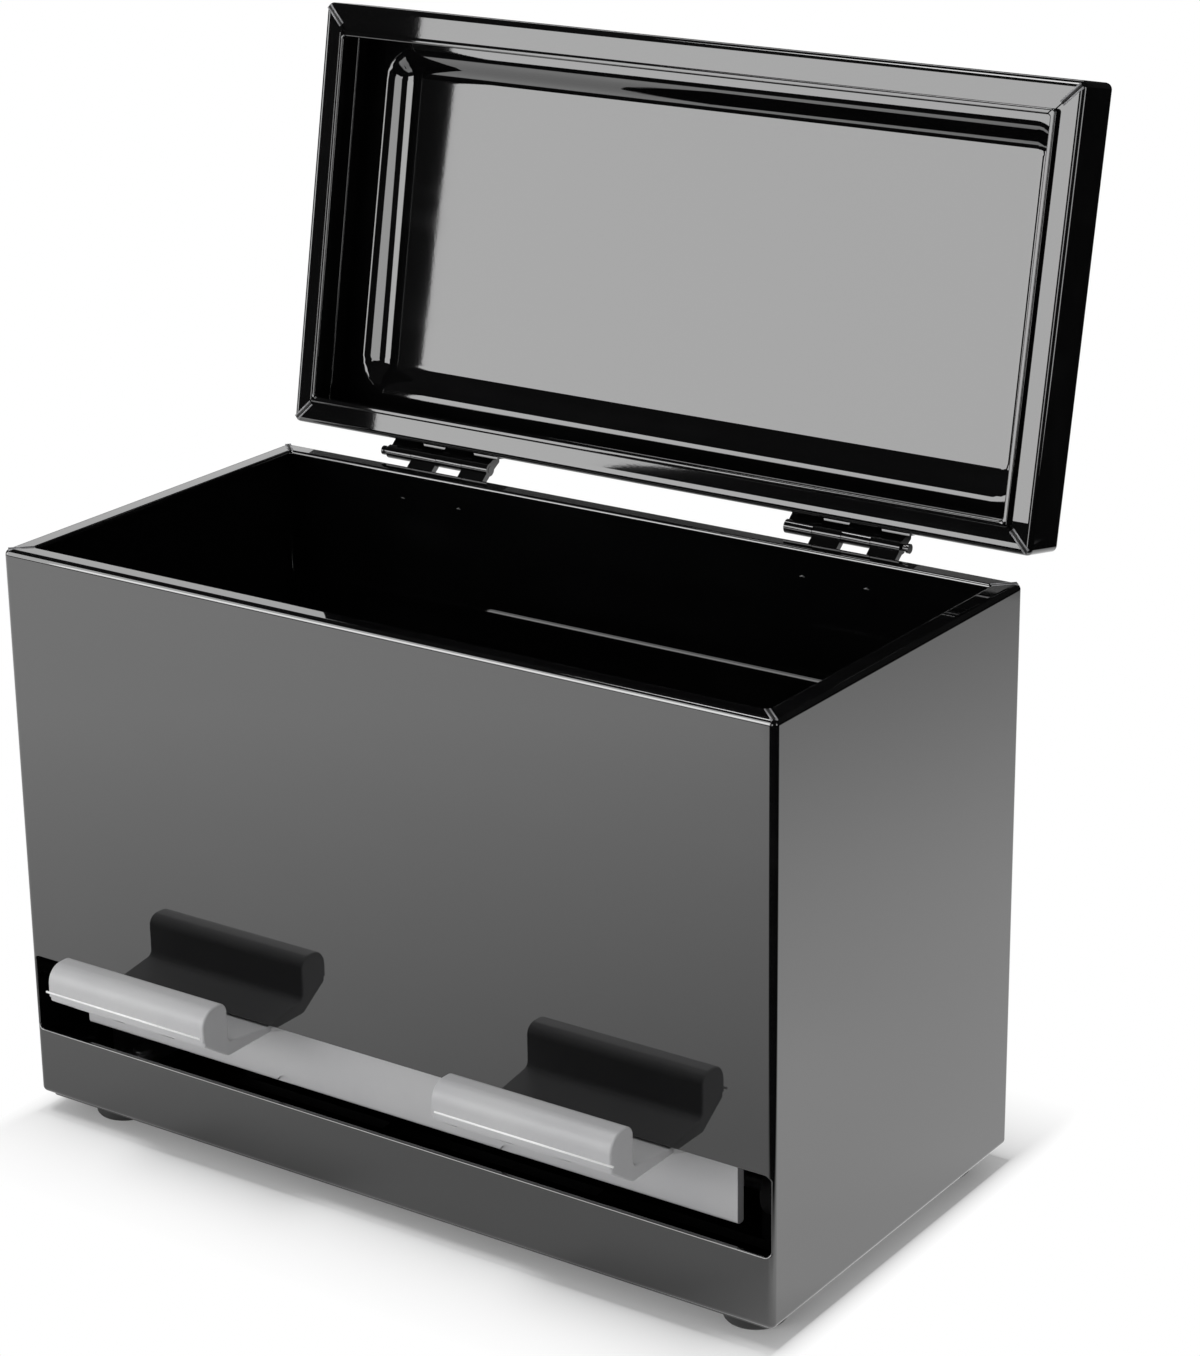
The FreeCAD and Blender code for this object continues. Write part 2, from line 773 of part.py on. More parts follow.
def hook_section():
    # The hook's side view: floor of the cradle, hood and the sloping underside.
    inner_face = -cradle_width
    apron_inner = apron_setback + rocker_wall / 2
    return [at(inner_face - hook_keel_setback, hook_underside) + (hook_keel_rounding,),
            at(hook_lip_step - hook_reach, hook_nose_height - hook_lip_height)
            + (hook_lip_rounding,),
            at(hook_lip_step - hook_reach, hook_nose_height) + (0,),
            at(-hook_reach, hook_nose_height) + (hook_nose_rounding,),
            at(-hook_reach, hook_top) + (hook_front_rounding,),
            at(inner_face, hook_top) + (hook_inner_rounding,),
            at(inner_face, cradle_floor) + (cradle_rounding,), at(0, tray_crest) + (0,),
            at(apron_inner, tray_height(apron_inner)) + (0,),
            at(apron_inner, hook_underside) + (0,)]


def hook_pockets(start):
    # Pockets moulded into the hood from below, parted by walls.
    depth = hook_reach - hook_wall
    inner = -cradle_width - hook_wall
    section = [at(-depth, hook_underside) + (0,),
               at(-depth, hook_top - hook_wall) + (hook_pocket_front_rounding,),
               at(inner, hook_top - hook_wall) + (hook_pocket_rear_rounding,),
               at(inner, hook_underside) + (0,)]
    pitch = (hook_width - hook_wall) / hook_pocket_count
    return [side_prism(section, start + hook_wall + index * pitch, start + (index + 1) * pitch)
            for index in range(hook_pocket_count)]


def hook_root(x, way):
    # A gusset in plan, where the side of the cradle's floor runs into the apron.
    reach = hook_root_gusset
    y_root = front + apron_setback
    corners = [(x, y_root, 0), (x + way * reach, y_root, 0), (x, y_root - reach, 0)]
    floor_height = tray_height(apron_setback) - edge_rounding - hook_underside
    return prism(corners, in_xy, bottom + hook_underside, floor_height)


def hook(start):
    # One hook with round edges at its two ends.
    body = side_prism(hook_section(), start, start + hook_width)
    end_edges = []
    for edge in body.Edges:
        box = edge.BoundBox
        flat = box.XMax - box.XMin < 1e-4
        ahead = box.YMax < front - edge_rounding
        if flat and ahead:
            end_edges.append(edge)
    body = body.makeFillet(edge_rounding, end_edges)
    body = cut_all(body, hook_pockets(start))
    roots = [hook_root(start, -1), hook_root(start + hook_width, 1)]
    return [body] + roots


def apron_marks():
    # Two shallow half-round marks in the lower edge of the apron.
    y = front + apron_setback - overcut
    z = bottom + apron_bottom - apron_mark_drop
    length = apron_mark_depth + overcut
    return [Part.makeCylinder(apron_mark_radius, length, Vector(side * hook_gap / 2, y, z), along_y)
            for side in (-1, 1)]


def spring_peg_place():
    # The peg lies on the upper leg of the spring, near the leg's tip.
    z = pivot_z + spring_radius + spring_wire / 2 + spring_peg_gap + spring_peg_radius
    return pivot_y - spring_leg + spring_peg_radius, z


def dispensing_rocker():
    parts = rocker_skin()
    parts.append(gate_shell())
    end_arm = rib_section(end_arm_setback, end_arm_foot)
    for x_start in (-rocker_end, rocker_end - rocker_wall):
        parts.append(side_prism(end_arm, x_start, x_start + rocker_wall))
    parts.append(side_prism(tie_bar_section(), -rocker_end, rocker_end))
    hub = rod(hub_radius, hub_end - hub_length, hub_end, pivot_y, pivot_z)
    peg_y, peg_z = spring_peg_place()
    peg = rod(spring_peg_radius, rocker_end - rocker_wall, rocker_end + spring_peg_length,
              peg_y, peg_z)
    parts += [hub, mirrored(hub), peg, mirrored(peg)]
    rib = rib_section(apron_setback + rocker_wall / 2, apron_bottom)
    ribs = [side_prism(rib, side * rib_offset - rib_thickness / 2,
                       side * rib_offset + rib_thickness / 2) for side in (-1, 1)]
    rib_bore = rod(axle_radius + axle_rib_clearance, -right, right, pivot_y, pivot_z)
    for rib in ribs:
        parts.append(rib.cut(rib_bore))
    for start in (-hook_gap / 2 - hook_width, hook_gap / 2):
        parts += hook(start)
    whole = fused(parts)
    bore = rod(axle_radius, -right, right, pivot_y, pivot_z)
    return cut_all(whole, [bore] + apron_marks())


# Axle, bearings and springs

def rocker_axle():
    end = right - sheet - axle_end_gap
    axle = rod(axle_radius, -end, end, pivot_y, pivot_z)
    tips = [edge for edge in axle.Edges if edge.BoundBox.XLength < 1e-4]
    return axle.makeChamfer(edge_rounding, tips)


def axle_clip():
    # A flat spring clip with an open mouth, on the axle just outside the bracket.
    start = bracket_outer + clip_play
    ring = rod(axle_radius + clip_width, start, start + clip_thickness, pivot_y, pivot_z)
    ring = ring.cut(rod(axle_radius, start - overcut, start + clip_thickness + overcut,
                        pivot_y, pivot_z))
    reach = 2 * (axle_radius + clip_width)
    half = math.radians(clip_mouth_angle / 2)
    mouth = [(pivot_y, pivot_z, 0),
             (pivot_y - reach * math.sin(half), pivot_z - reach * math.cos(half), 0),
             (pivot_y + reach * math.sin(half), pivot_z - reach * math.cos(half), 0)]
    return ring.cut(side_prism(mouth, start - overcut, start + clip_thickness + overcut))


def pivot_bracket():
    # An angle of thick sheet: its foot is riveted to the lower flange of the case.
    foot_top = flange_top + bracket_thickness
    y_start = pivot_y - bracket_width / 2
    foot_plate = block(bracket_inner - bracket_foot_length, bracket_outer, y_start,
                       y_start + bracket_width, flange_top, foot_top)
    upright_top = pivot_z + bracket_rise
    upright = [(y_start, flange_top, 0), (y_start + bracket_width, flange_top, 0),
               (y_start + bracket_width, upright_top, bracket_corner_radius),
               (y_start, upright_top, bracket_corner_radius)]
    plate = side_prism(upright, bracket_inner, bracket_outer)
    bore = rod(bush_radius, bracket_inner - overcut, bracket_outer + overcut, pivot_y, pivot_z)
    return cut_all(fused([foot_plate, plate]), [bore, spring_hole()] + bracket_rivet_holes())


def axle_bush():
    flange = rod(bush_flange_radius, bracket_inner - bush_flange_thickness, bracket_inner,
                 pivot_y, pivot_z)
    sleeve = rod(bush_radius, bracket_inner, bracket_outer, pivot_y, pivot_z)
    bore = rod(axle_radius + axle_running_clearance, hub_end, right, pivot_y, pivot_z)
    return fused([flange, sleeve]).cut(bore)


def bracket_rivet(x, y):
    seat = Vector(x, y, flange_top + bracket_thickness)
    return rivet(seat, along_z, bracket_thickness + sheet + base_plate_thickness)


def coil_point(turn):
    # A point of the spring's coil and its way there, after so many turns from the top.
    angle = 2 * math.pi * turn
    x_start = hub_end + spring_end_gap + spring_wire / 2
    x_end = bracket_inner - bush_flange_thickness - spring_end_gap - spring_wire / 2
    pitch = (x_end - x_start) / (spring_turns + 0.25)
    point = Vector(x_start + pitch * turn, pivot_y + spring_radius * math.sin(angle),
                   pivot_z + spring_radius * math.cos(angle))
    way = Vector(pitch / (2 * math.pi), spring_radius * math.cos(angle),
                 -spring_radius * math.sin(angle))
    return point, way.normalize()


def tangent_arc(start, way, end):
    # The arc that leaves the start along the way and ends at the end.
    chord = end - start
    along = Vector(chord).normalize()
    aside = way - along * way.dot(along)
    swing = math.atan2(aside.Length, way.dot(along))
    bulge = chord.Length / 2 * math.tan(swing / 2)
    middle = start + chord * 0.5 + aside.normalize() * bulge
    return Part.Arc(start, middle, end).toShape()


def biarc(start, start_way, end, end_way):
    # Two arcs that meet smoothly and keep the ways at both ends.
    chord = end - start
    ways = start_way + end_way
    spread = 2 * (1 - start_way.dot(end_way))
    lean = chord.dot(ways)
    reach = (math.sqrt(lean * lean + spread * chord.dot(chord)) - lean) / spread
    joint = (start + end + (start_way - end_way) * reach) * 0.5
    second = tangent_arc(end, end_way * -1, joint)
    return [tangent_arc(start, start_way, joint), second]


def short_leg_points():
    # From the coil's end down beside the bracket, then out through a hole in it.
    coil_end, way = coil_point(spring_turns + 0.25)
    knee = coil_end + way * (spring_short_leg + spring_leg_bend)
    tip = Vector(bracket_outer + spring_wire, knee.y, knee.z)
    return coil_end, knee, tip


def return_spring():
    # A coil round the axle: one leg lifts the rocker's peg, the other is held by the bracket.
    coil_start, first_way = coil_point(0)
    leg_tip = coil_start - first_way * spring_leg
    edges = [Part.LineSegment(leg_tip, coil_start).toShape()]
    quarters = 4 * spring_turns + 1
    for quarter in range(quarters):
        edges += biarc(*coil_point(quarter / 4), *coil_point((quarter + 1) / 4))
    coil_end, knee, tip = short_leg_points()
    bend_start, bend_middle, bend_end = corner_arc(coil_end, knee, tip, spring_leg_bend)
    edges += [Part.LineSegment(coil_end, bend_start).toShape(),
              Part.Arc(bend_start, bend_middle, bend_end).toShape(),
              Part.LineSegment(bend_end, tip).toShape()]
    path = Part.Wire(Part.__sortEdges__(edges))
    section = Part.Wire(Part.Circle(leg_tip, first_way, spring_wire / 2).toShape())
    return path.makePipeShell([section], True, False)


def spring_hole():
    knee = short_leg_points()[1]
    radius = spring_wire / 2 + spring_hole_clearance
    return rod(radius, bracket_inner - overcut, bracket_outer + overcut, knee.y, knee.z)


# Stops

def bumper(x, y, z_start, z_end):
    body = post(bumper_radius, x, y, z_start, z_end)
    return body.makeFillet(bumper_rounding, level_edges(body, z_end))


def front_bumper():
    # Its top meets the apron's lower edge when the rocker is pressed right down.
    corner_y, corner_z = at(apron_setback, apron_bottom)
    pressed_z = turned(corner_y, corner_z, press_angle)[1]
    return bumper(rocker_end - front_bumper_inset, front + front_bumper_setback, flange_top,
                  pressed_z - bumper_gap)


def rear_bumper():
    # The springs hold the tie bar down on it while the rocker is at rest.
    y = front + tie_bar_setback + tie_bar_depth / 2
    return bumper(rocker_end - rear_bumper_inset, y, bottom,
                  bottom + tie_bar_bottom - bumper_gap)


# All pieces by name

def pair(name, shape):
    return {name + "_right": shape, name + "_left": mirrored(shape)}


def all_pieces():
    pieces = {
        "case_shell": case_shell(),
        "base_plate": base_plate(),
        "lid_shell": opened(lid_shell()),
        "hopper_front_ramp": front_ramp(),
        "hopper_rear_ramp": rear_ramp(),
        "dispensing_rocker": dispensing_rocker(),
        "rocker_axle": rocker_axle(),
    }
    for place, (x, y) in foot_places().items():
        pieces["foot_" + place] = foot(x, y)
        pieces["foot_screw_" + place] = foot_screw(x, y)
    for side, side_name in ((-1, "left"), (1, "right")):
        pieces["hinge_case_leaf_" + side_name] = hinge_case_leaf(side)
        pieces["hinge_lid_leaf_" + side_name] = hinge_lid_leaf(side)
        pieces["hinge_pin_" + side_name] = hinge_pin(side)
        case_rivets = [hinge_rivet(side, step, case_rivet_z) for step in (-1, 1)]
        lid_rivets = [opened(hinge_rivet(side, step, lid_rivet_z)) for step in (-1, 1)]
        pieces["hinge_case_rivets_" + side_name] = Part.makeCompound(case_rivets)
        pieces["hinge_lid_rivets_" + side_name] = Part.makeCompound(lid_rivets)
    bracket_rivets = [bracket_rivet(x, y) for x, y in bracket_rivet_places()]
    pieces.update(pair("pivot_bracket", pivot_bracket()))
    pieces.update(pair("axle_bush", axle_bush()))
    pieces.update(pair("axle_clip", axle_clip()))
    pieces.update(pair("bracket_rivets", Part.makeCompound(bracket_rivets)))
    pieces.update(pair("return_spring", return_spring()))
    pieces.update(pair("front_bumper", front_bumper()))
    pieces.update(pair("rear_bumper", rear_bumper()))
    return pieces


os.makedirs("parts", exist_ok=True)
for node_name, node_shape in all_pieces().items():
    node_shape.exportStep("parts/" + node_name + ".step")
    print(node_name, round(node_shape.Volume, 1), len(node_shape.Solids), node_shape.isValid())
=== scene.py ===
import json
import math

import bmesh
import bpy
from mathutils import Matrix, Vector


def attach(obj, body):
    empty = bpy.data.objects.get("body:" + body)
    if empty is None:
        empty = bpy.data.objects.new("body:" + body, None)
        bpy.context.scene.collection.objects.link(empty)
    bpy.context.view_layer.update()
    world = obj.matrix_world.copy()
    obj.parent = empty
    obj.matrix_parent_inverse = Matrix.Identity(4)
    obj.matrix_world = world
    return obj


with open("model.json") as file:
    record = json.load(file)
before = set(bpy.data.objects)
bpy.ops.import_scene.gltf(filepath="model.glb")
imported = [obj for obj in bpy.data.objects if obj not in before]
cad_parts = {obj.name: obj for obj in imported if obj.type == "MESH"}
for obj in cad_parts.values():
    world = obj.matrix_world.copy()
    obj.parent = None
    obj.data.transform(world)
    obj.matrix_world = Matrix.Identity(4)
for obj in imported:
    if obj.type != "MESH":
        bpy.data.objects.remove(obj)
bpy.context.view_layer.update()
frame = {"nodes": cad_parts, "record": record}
nodes = frame["nodes"]
print("frame loaded:", len(nodes), "nodes")


# Shader maths

class Signal:
    # a number or a colour on its way through a material
    def __init__(self, recipe, socket):
        self.recipe = recipe
        self.socket = socket

    def maths(self, operation, first, second):
        return self.recipe.add("Math", {"operation": operation}, {0: first, 1: second})

    def __add__(self, other):
        return self.maths("ADD", self, other)

    def __radd__(self, other):
        return self.maths("ADD", other, self)

    def __sub__(self, other):
        return self.maths("SUBTRACT", self, other)

    def __rsub__(self, other):
        return self.maths("SUBTRACT", other, self)

    def __mul__(self, other):
        return self.maths("MULTIPLY", self, other)

    def __rmul__(self, other):
        return self.maths("MULTIPLY", other, self)

    def __pow__(self, other):
        return self.maths("POWER", self, other)

    def twin(self, name):
        # another output of the same node
        return Signal(self.recipe, self.socket.node.outputs[name])

    def length(self):
        return self.recipe.add("VectorMath", {"operation": "LENGTH"}, {0: self}, "Value")

    def moved(self, step):
        return self.recipe.add("VectorMath", {"operation": "SUBTRACT"}, {0: self, 1: step})

    def scaled(self, factors):
        return self.recipe.add("VectorMath", {"operation": "MULTIPLY"}, {0: self, 1: factors})

    def unsigned(self):
        return self.recipe.add("VectorMath", {"operation": "ABSOLUTE"}, {0: self})

    def atLeast(self, lowest):
        return self.recipe.add("VectorMath", {"operation": "MAXIMUM"}, {0: self, 1: lowest})


class Recipe:
    # one material and its nodes
    def __init__(self, name, tree=None):
        if tree is None:
            self.material = bpy.data.materials.new(name)
            self.material.use_nodes = True
            tree = self.material.node_tree
        self.tree = tree
        tree.nodes.clear()

    def add(self, kind, settings, sockets, out=0):
        node = self.tree.nodes.new("ShaderNode" + kind)
        for key, value in settings.items():
            setattr(node, key, value)
        for key, value in sockets.items():
            if isinstance(value, Signal):
                self.tree.links.new(value.socket, node.inputs[key])
            else:
                node.inputs[key].default_value = value
        return Signal(self, node.outputs[out])

    def place(self):
        return self.add("TexCoord", {}, {}, "Object")

    def axis(self, name):
        return self.add("SeparateXYZ", {}, {"Vector": self.place()}, name)

    def noise(self, scale, detail=2.0, stretch=(1, 1, 1)):
        where = self.add("Mapping", {}, {"Vector": self.place(), "Scale": stretch})
        return self.add("TexNoise", {}, {"Vector": where, "Scale": scale, "Detail": detail})

    def ramp(self, signal, low, high, start=0.0, end=1.0):
        return self.add("MapRange", {}, {"Value": signal, 1: low, 2: high, 3: start, 4: end})

    def smooth(self, signal, low, high):
        return self.add("MapRange", {"interpolation_type": "SMOOTHSTEP"}, {"Value": signal, 1: low, 2: high})

    def bump(self, height, depth, under=None):
        sockets = {"Height": height, "Distance": depth, "Strength": 1.0}
        if under is not None:
            sockets["Normal"] = under
        return self.add("Bump", {}, sockets)

    def blend(self, factor, first, second):
        return self.add("Mix", {"data_type": "RGBA"}, {0: factor, 6: first, 7: second}, 2)

    def diffuse(self, colour):
        return self.add("BsdfDiffuse", {}, {"Color": colour})

    def glow(self, strength):
        return self.add("Emission", {}, {"Color": (1, 1, 1, 1), "Strength": strength})

    def mixed(self, factor, first, second):
        return self.add("MixShader", {}, {0: factor, 1: first, 2: second})

    def output(self, kind, shader):
        node = self.tree.nodes.new("ShaderNode" + kind)
        self.tree.links.new(shader.socket, node.inputs["Surface"])

    def finished(self, shader):
        self.output("OutputMaterial", shader)
        return self.material


def shaded(colour, factor):
    return (colour[0] * factor, colour[1] * factor, colour[2] * factor, 1)


# Finishes of the pieces

paint = {
    "colour": (0.0022, 0.0022, 0.0023, 1),
    "dustLift": 1.8,  # the faint smudges are this much lighter
    "ior": 1.85,
    "roughness": 0.022,
    "smudgeRoughness": 0.008,
    "hingeGloss": 0.7,
    "peelScale": 1400.0,  # orange peel, less than a millimetre from crest to crest
    "peelDepth": 0.0000004,
    "waveScale": 22.0,
    "waveDepth": 0.00001,
    "smudgeScale": 34.0,
    "streakScale": 12.0,
    "streakStretch": (1, 9, 9),
    "smudgeRange": (0.50, 0.68),
    "rimCup": 0.00011,  # the lid's rim by the hinges is pulled in by this much
    "rimCupStart": 0.1586,
    "rimCupEnd": 0.1636,
    "rimCupLeft": -0.06,  # it comes in from here to there
    "rimCupRight": 0.0,
}


def blackPaint(name, gloss=1.0, cupped=False):
    r = Recipe(name)
    peel = r.noise(paint["peelScale"], 1.0)
    wave = r.noise(paint["waveScale"], 1.0)
    smudge = r.noise(paint["smudgeScale"], 5.0)
    streak = r.noise(paint["streakScale"], 4.0, stretch=paint["streakStretch"])
    mask = r.ramp(smudge * 0.5 + streak * 0.5, *paint["smudgeRange"])
    bumped = r.bump(peel, paint["peelDepth"], r.bump(wave, paint["waveDepth"]))
    if cupped:
        x = r.axis("X")
        cup = r.ramp(x.twin("Z"), paint["rimCupStart"], paint["rimCupEnd"])
        cup = cup * r.smooth(x, paint["rimCupLeft"], paint["rimCupRight"])
        bumped = r.bump(cup, paint["rimCup"], bumped)
    return r.finished(r.add("BsdfPrincipled", {}, {
        "Base Color": r.blend(mask, paint["colour"], shaded(paint["colour"], paint["dustLift"])),
        "Roughness": paint["roughness"] * gloss + mask * paint["smudgeRoughness"],
        "IOR": paint["ior"],
        "Normal": bumped}))


plastic = {
    "colour": (0.46, 0.46, 0.465, 1),
    "darkColour": (0.4278, 0.4278, 0.4371, 1),
    "cloudScale": 40.0,
    "cloudRange": (0.35, 0.65),
    "roughness": 0.42,
    "roughnessSwing": 0.10,
    "grainScale": 2600.0,
    "grainDepth": 0.00003,
    "paintedShadeStart": -0.050,  # painted shade: the moulding is darkened inside the case, where it lies in shade
    "paintedShadeEnd": -0.044,
    "paintedShadeLevel": 0.06,
}


def greyPlastic(name):
    r = Recipe(name)
    grain = r.noise(plastic["grainScale"])
    cloud = r.noise(plastic["cloudScale"], 3.0)
    base = plastic["colour"]
    outer = r.blend(r.ramp(cloud, *plastic["cloudRange"]), plastic["darkColour"], base)
    # painted shade: deeper than this into the case the plastic is darkened to a few percent
    paintedShadeMask = r.ramp(r.axis("Y"), plastic["paintedShadeStart"], plastic["paintedShadeEnd"])
    return r.finished(r.add("BsdfPrincipled", {}, {
        "Base Color": r.blend(paintedShadeMask, outer, shaded(base, plastic["paintedShadeLevel"])),
        "Roughness": plastic["roughness"] + (cloud - 0.5) * plastic["roughnessSwing"],
        "Normal": r.bump(grain, plastic["grainDepth"])}))


rubber = {
    "colour": (0.018, 0.018, 0.018, 1),
    "otherColour": (0.03, 0.03, 0.03, 1),
    "roughness": 0.68,
    "roughnessSwing": 0.2,
    "grainScale": 1800.0,
    "grainDepth": 0.00005,
}

nylon = {
    "colour": (0.70, 0.70, 0.66, 1),
    "otherColour": (0.78, 0.78, 0.75, 1),
    "roughness": 0.45,
    "roughnessSwing": 0.15,
    "grainScale": 1200.0,
    "grainDepth": 0.00002,
}


def grained(name, finish):
    # two shades of one colour, as fine as the grain
    r = Recipe(name)
    grain = r.noise(finish["grainScale"])
    sockets = {
        "Base Color": r.blend(grain, finish["colour"], finish["otherColour"]),
        "Roughness": finish["roughness"] + (grain - 0.5) * finish["roughnessSwing"]}
    if "grainDepth" in finish:
        sockets["Normal"] = r.bump(grain, finish["grainDepth"])
    return r.finished(r.add("BsdfPrincipled", {}, sockets))


zinc = {
    "colour": (0.60, 0.60, 0.61, 1),
    "darkColour": (0.50, 0.50, 0.51, 1),
    "spangleScale": 90.0,
    "spangleRange": (0.3, 0.7),
    "roughness": 0.34,
    "roughnessSwing": 0.25,
    "grainScale": 240.0,
    "grainDepth": 0.00003,
}


def zincSteel(name):
    r = Recipe(name)
    grain = r.noise(zinc["grainScale"], 4.0)
    spangle = r.ramp(r.noise(zinc["spangleScale"]), *zinc["spangleRange"])
    return r.finished(r.add("BsdfPrincipled", {}, {
        "Base Color": r.blend(spangle, zinc["darkColour"], zinc["colour"]),
        "Metallic": 1.0,
        "Roughness": zinc["roughness"] + (grain - 0.5) * zinc["roughnessSwing"],
        "Normal": r.bump(grain, zinc["grainDepth"])}))


finishes = {
    "black_paint": blackPaint("blackPaint"),
    "black_hinge": blackPaint("blackHinge", paint["hingeGloss"]),
    "grey_plastic": greyPlastic("greyPlastic"),
    "black_rubber": grained("blackRubber", rubber),
    "zinc_steel": zincSteel("zincSteel"),
    "white_nylon": grained("whiteNylon", nylon),
}
lidPaint = blackPaint("lidPaint", cupped=True)
for part in frame["record"]["subparts"]:
    materials = nodes[part["node"]].data.materials
    materials.clear()
    materials.append(lidPaint if part["node"] == "lid_shell" else finishes[part["material_slot"]])
print("materials on", len(nodes), "nodes")


# Round shading over the facets of curved surfaces

smoothing = {
    "mergeReach": 0.000002,
    "sharpAngle": 36.0,  # degrees; shallower edges are shaded round
    "flatWeight": 90,
}


def shadeRoundGroup():
    group = bpy.data.node_groups.new("shadeRound", "GeometryNodeTree")
    group.interface.new_socket("Geometry", in_out="INPUT", socket_type="NodeSocketGeometry")
    group.interface.new_socket("Geometry", in_out="OUTPUT", socket_type="NodeSocketGeometry")
    source = group.nodes.new("NodeGroupInput")
    merge = group.nodes.new("GeometryNodeMergeByDistance")
    merge.inputs["Distance"].default_value = smoothing["mergeReach"]
    soft = group.nodes.new("GeometryNodeSetShadeSmooth")
    soft.inputs["Shade Smooth"].default_value = True
    angle = group.nodes.new("GeometryNodeInputMeshEdgeAngle")
    steep = group.nodes.new("FunctionNodeCompare")
    steep.operation = "GREATER_THAN"
    steep.inputs["B"].default_value = math.radians(smoothing["sharpAngle"])
    crisp = group.nodes.new("GeometryNodeSetShadeSmooth")
    crisp.domain = "EDGE"
    crisp.inputs["Shade Smooth"].default_value = False
    result = group.nodes.new("NodeGroupOutput")
    for start, end in ((source.outputs[0], merge.inputs["Geometry"]),
                       (merge.outputs[0], soft.inputs["Geometry"]),
                       (soft.outputs[0], crisp.inputs["Geometry"]),
                       (angle.outputs["Unsigned Angle"], steep.inputs["A"]),
                       (steep.outputs[0], crisp.inputs["Selection"]),
                       (crisp.outputs[0], result.inputs[0])):
        group.links.new(start, end)
    return group


roundGroup = shadeRoundGroup()
for node in nodes.values():
    node.modifiers.new("shadeRound", "NODES").node_group = roundGroup
    flatter = node.modifiers.new("flatFaces", "WEIGHTED_NORMAL")
    flatter.keep_sharp = True
    flatter.weight = smoothing["flatWeight"]
print("round shading set")


# Helpers for new pieces

def addRod(bm, start, end, radius):
    start, end = Vector(start), Vector(end)
    way = end - start
    turn = way.to_track_quat("Z", "Y").to_matrix().to_4x4()
    bmesh.ops.create_cone(bm, cap_ends=True, segments=14, radius1=radius, radius2=radius, depth=way.length,
                          matrix=Matrix.Translation((start + end) / 2) @ turn)


def addStrip(bm, start, end, across, width, thick):
    way = end - start
    along = way.normalized()
    turn = Matrix((across, along, across.cross(along))).transposed().to_4x4()
    size = Matrix.Diagonal((width, way.length, thick, 1))
    bmesh.ops.create_cube(bm, size=1, matrix=Matrix.Translation((start + end) / 2) @ turn @ size)


def finishPiece(name, bm, material, body, change=None):
    if change is not None:
        bmesh.ops.transform(bm, matrix=change, verts=bm.verts)
    mesh = bpy.data.meshes.new(name)
    bm.to_mesh(mesh)
    bm.free()
    for face in mesh.polygons:
        face.use_smooth = len(face.vertices) == 4
    piece = bpy.data.objects.new(name, mesh)
    bpy.context.scene.collection.objects.link(piece)
    mesh.materials.append(material)
    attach(piece, body)


# Mitre seams of the two folded flanges: a dark gap between two fine raised edges, the edges coloured grey as a
# painted highlight

seams = {
    "rimWidth": 0.0055,
    "stripWidth": 0.0006,
    "stripThick": 0.00004,
    "beadRadius": 0.00028,
    "beadSink": 0.7,  # share of its radius that a bead's middle lies under the sheet
    "beadGap": 0.00055,  # from the seam to the middle of each bead
    "rise": 0.00003,
    "start": 0.0010,  # the seams begin this far in from the corners
    "sides": (-0.110, 0.110),
    "caseEnds": (-0.061864, 0.047136),  # front and back
    "caseTop": 0.1506,
    "lidEnds": (-0.062664, 0.047136),
    "lidBottom": 0.1509,  # with the lid closed
    "hinge": (0, 0.050636, 0.1523),
    "opening": 100.9,
    # painted highlight: the raised edges are grey, standing for the bright lines that they catch
    "colour": (0.270, 0.270, 0.279, 1),
    "otherColour": (0.30, 0.30, 0.31, 1),
    "roughness": 0.25,
    "roughnessSwing": 0.05,
    "grainScale": 900.0,
}


def addSeams(label, ends, level, up, body, change=None):
    gaps = bmesh.new()
    edges = bmesh.new()
    for x in seams["sides"]:
        for y in ends:
            stepX = -math.copysign(1, x)
            stepY = 1 if y == ends[0] else -1
            height = level + up * seams["rise"]
            start = Vector((x + stepX * seams["start"], y + stepY * seams["start"], height))
            end = Vector((x + stepX * seams["rimWidth"], y + stepY * seams["rimWidth"], height))
            across = Vector((stepX, -stepY, 0)).normalized()
            addStrip(gaps, start, end, across, seams["stripWidth"], seams["stripThick"])
            sink = Vector((0, 0, up)) * seams["beadRadius"] * seams["beadSink"]
            for side in (-1, 1):
                shift = across * side * seams["beadGap"] - sink
                addRod(edges, start + shift, end + shift, seams["beadRadius"])
    finishPiece(label + "SeamGaps", gaps, finishes["black_rubber"], body, change)
    finishPiece(label + "SeamPaintedHighlights", edges, seamHighlightGrey, body, change)


# painted highlight on the raised edges of the seams
seamHighlightGrey = grained("seamHighlightGrey", seams)
hingeLine = Vector(seams["hinge"])
openLid = (Matrix.Translation(hingeLine) @ Matrix.Rotation(math.radians(-seams["opening"]), 4, "X")
           @ Matrix.Translation(-hingeLine))
addSeams("case", seams["caseEnds"], seams["caseTop"], 1, "case")
addSeams("lid", seams["lidEnds"], seams["lidBottom"], -1, "lid", openLid)
print("seams made")


# Painted highlight along the front of both hooks: a fine rod on the lip's edge, much lighter than the plastic,
# stands for the bright line that the edge catches

ledge = {
    "radius": 0.00028,
    "y": -0.08480,
    "z": 0.0487,
    "inner": 0.0345,
    "outer": 0.0832,
    # painted highlight: much lighter than the plastic
    "colour": (0.837, 0.837, 0.837, 1),
    "otherColour": (0.93, 0.93, 0.93, 1),
    "roughness": 0.22,
    "roughnessSwing": 0.05,
    "grainScale": 900.0,
}

hookLedgeHighlights = bmesh.new()
for side in (-1, 1):
    addRod(hookLedgeHighlights, (side * ledge["inner"], ledge["y"], ledge["z"]),
           (side * ledge["outer"], ledge["y"], ledge["z"]), ledge["radius"])
finishPiece("hookLedgeHighlights", hookLedgeHighlights, grained("ledgePaintedHighlight", ledge), "rocker")
print("ledges made")


# Lamps

